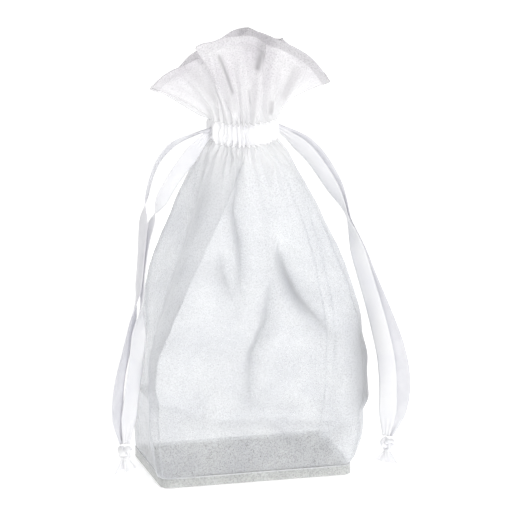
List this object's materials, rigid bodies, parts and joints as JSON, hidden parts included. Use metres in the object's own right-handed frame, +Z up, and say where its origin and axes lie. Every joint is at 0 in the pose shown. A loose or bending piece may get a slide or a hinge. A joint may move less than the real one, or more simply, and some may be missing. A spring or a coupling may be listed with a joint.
{
  "type": "drawstring gift pouch",
  "caption": "Free-standing sheer gift pouch with a stiff flat bottom, gathered neck, flared heading and knotted ribbon drawstrings.",
  "frame": {"origin": "centre of the underside the pouch stands on", "axes": "+Z up; X along the wide front; -Y towards the front"},
  "size_m": [0.17, 0.0682, 0.247],
  "materials": {
    "sheer_cloth": "sheer organza, crisp, fine sparkle",
    "heading_cloth": "two layers of sheer organza",
    "casing_cloth": "tightly gathered organza",
    "seam_cloth": "rolled seam of organza",
    "base_cloth": "sheer organza over the insert",
    "insert_board": "smooth stiff board",
    "ribbon": "satin ribbon",
    "thread": "polyester thread"
  },
  "bodies": {
    "base": {"base_panel": "base_cloth", "base_seam": "thread", "left_gusset": "sheer_cloth", "right_gusset": "sheer_cloth", "left_channel": "casing_cloth", "right_channel": "casing_cloth", "left_stitching": "thread", "right_stitching": "thread", "left_ribbon_side_runs": "ribbon", "right_ribbon_side_runs": "ribbon"},
    "board": {"base_board": "insert_board"},
    "front_wall": {"front_panel": "sheer_cloth", "front_left_seam": "seam_cloth", "front_right_seam": "seam_cloth", "front_channel": "casing_cloth", "front_stitching": "thread", "front_ruffle": "heading_cloth", "front_hem": "heading_cloth", "left_ribbon_front_run": "ribbon", "right_ribbon_front_run": "ribbon"},
    "back_wall": {"back_panel": "sheer_cloth", "back_left_seam": "seam_cloth", "back_right_seam": "seam_cloth", "back_channel": "casing_cloth", "back_stitching": "thread", "back_ruffle": "heading_cloth", "back_hem": "heading_cloth", "left_ribbon_back_run": "ribbon", "right_ribbon_back_run": "ribbon"},
    "left_ribbon": {"left_front_strand": "ribbon", "left_back_strand": "ribbon"},
    "left_knot": {"left_knot": "ribbon", "left_tails": "ribbon"},
    "right_ribbon": {"right_front_strand": "ribbon", "right_back_strand": "ribbon"},
    "right_knot": {"right_knot": "ribbon", "right_tails": "ribbon"}
  },
  "joints": [
    {"name": "mouth_front", "type": "hinge", "parent": "base", "child": "front_wall", "pos_m": [0, -0.0326, 0.00555], "axis": [1, 0, 0], "range_deg": [0, 6.4]},
    {"name": "mouth_back", "type": "hinge", "parent": "base", "child": "back_wall", "pos_m": [0, 0.0326, 0.00555], "axis": [-1, 0, 0], "range_deg": [0, 6.4]},
    {"name": "board_lift", "type": "slide", "parent": "base", "child": "board", "axis": [0, 0, 1], "range_m": [0, 0.04]},
    {"name": "left_ribbon_swing", "type": "hinge", "parent": "base", "child": "left_ribbon", "pos_m": [-0.0178, 0, 0.194], "axis": [0, 1, 0], "range_deg": [0, 50]},
    {"name": "right_ribbon_swing", "type": "hinge", "parent": "base", "child": "right_ribbon", "pos_m": [0.0178, 0, 0.194], "axis": [0, -1, 0], "range_deg": [0, 50]},
    {"name": "left_knot_draw", "type": "slide", "parent": "left_ribbon", "child": "left_knot", "axis": [0, 0, 1], "range_m": [0, 0.0438], "deforming": ["left_front_strand", "left_back_strand"]},
    {"name": "right_knot_draw", "type": "slide", "parent": "right_ribbon", "child": "right_knot", "axis": [0, 0, 1], "range_m": [0, 0.0438], "deforming": ["right_front_strand", "right_back_strand"]}
  ],
  "couplings": [
    {"joint": "mouth_back", "follows": "mouth_front", "ratio": 1},
    {"joint": "left_knot_draw", "follows": "mouth_front", "m_per_rad": 0.3903},
    {"joint": "right_knot_draw", "follows": "mouth_front", "m_per_rad": 0.3903}
  ]
}
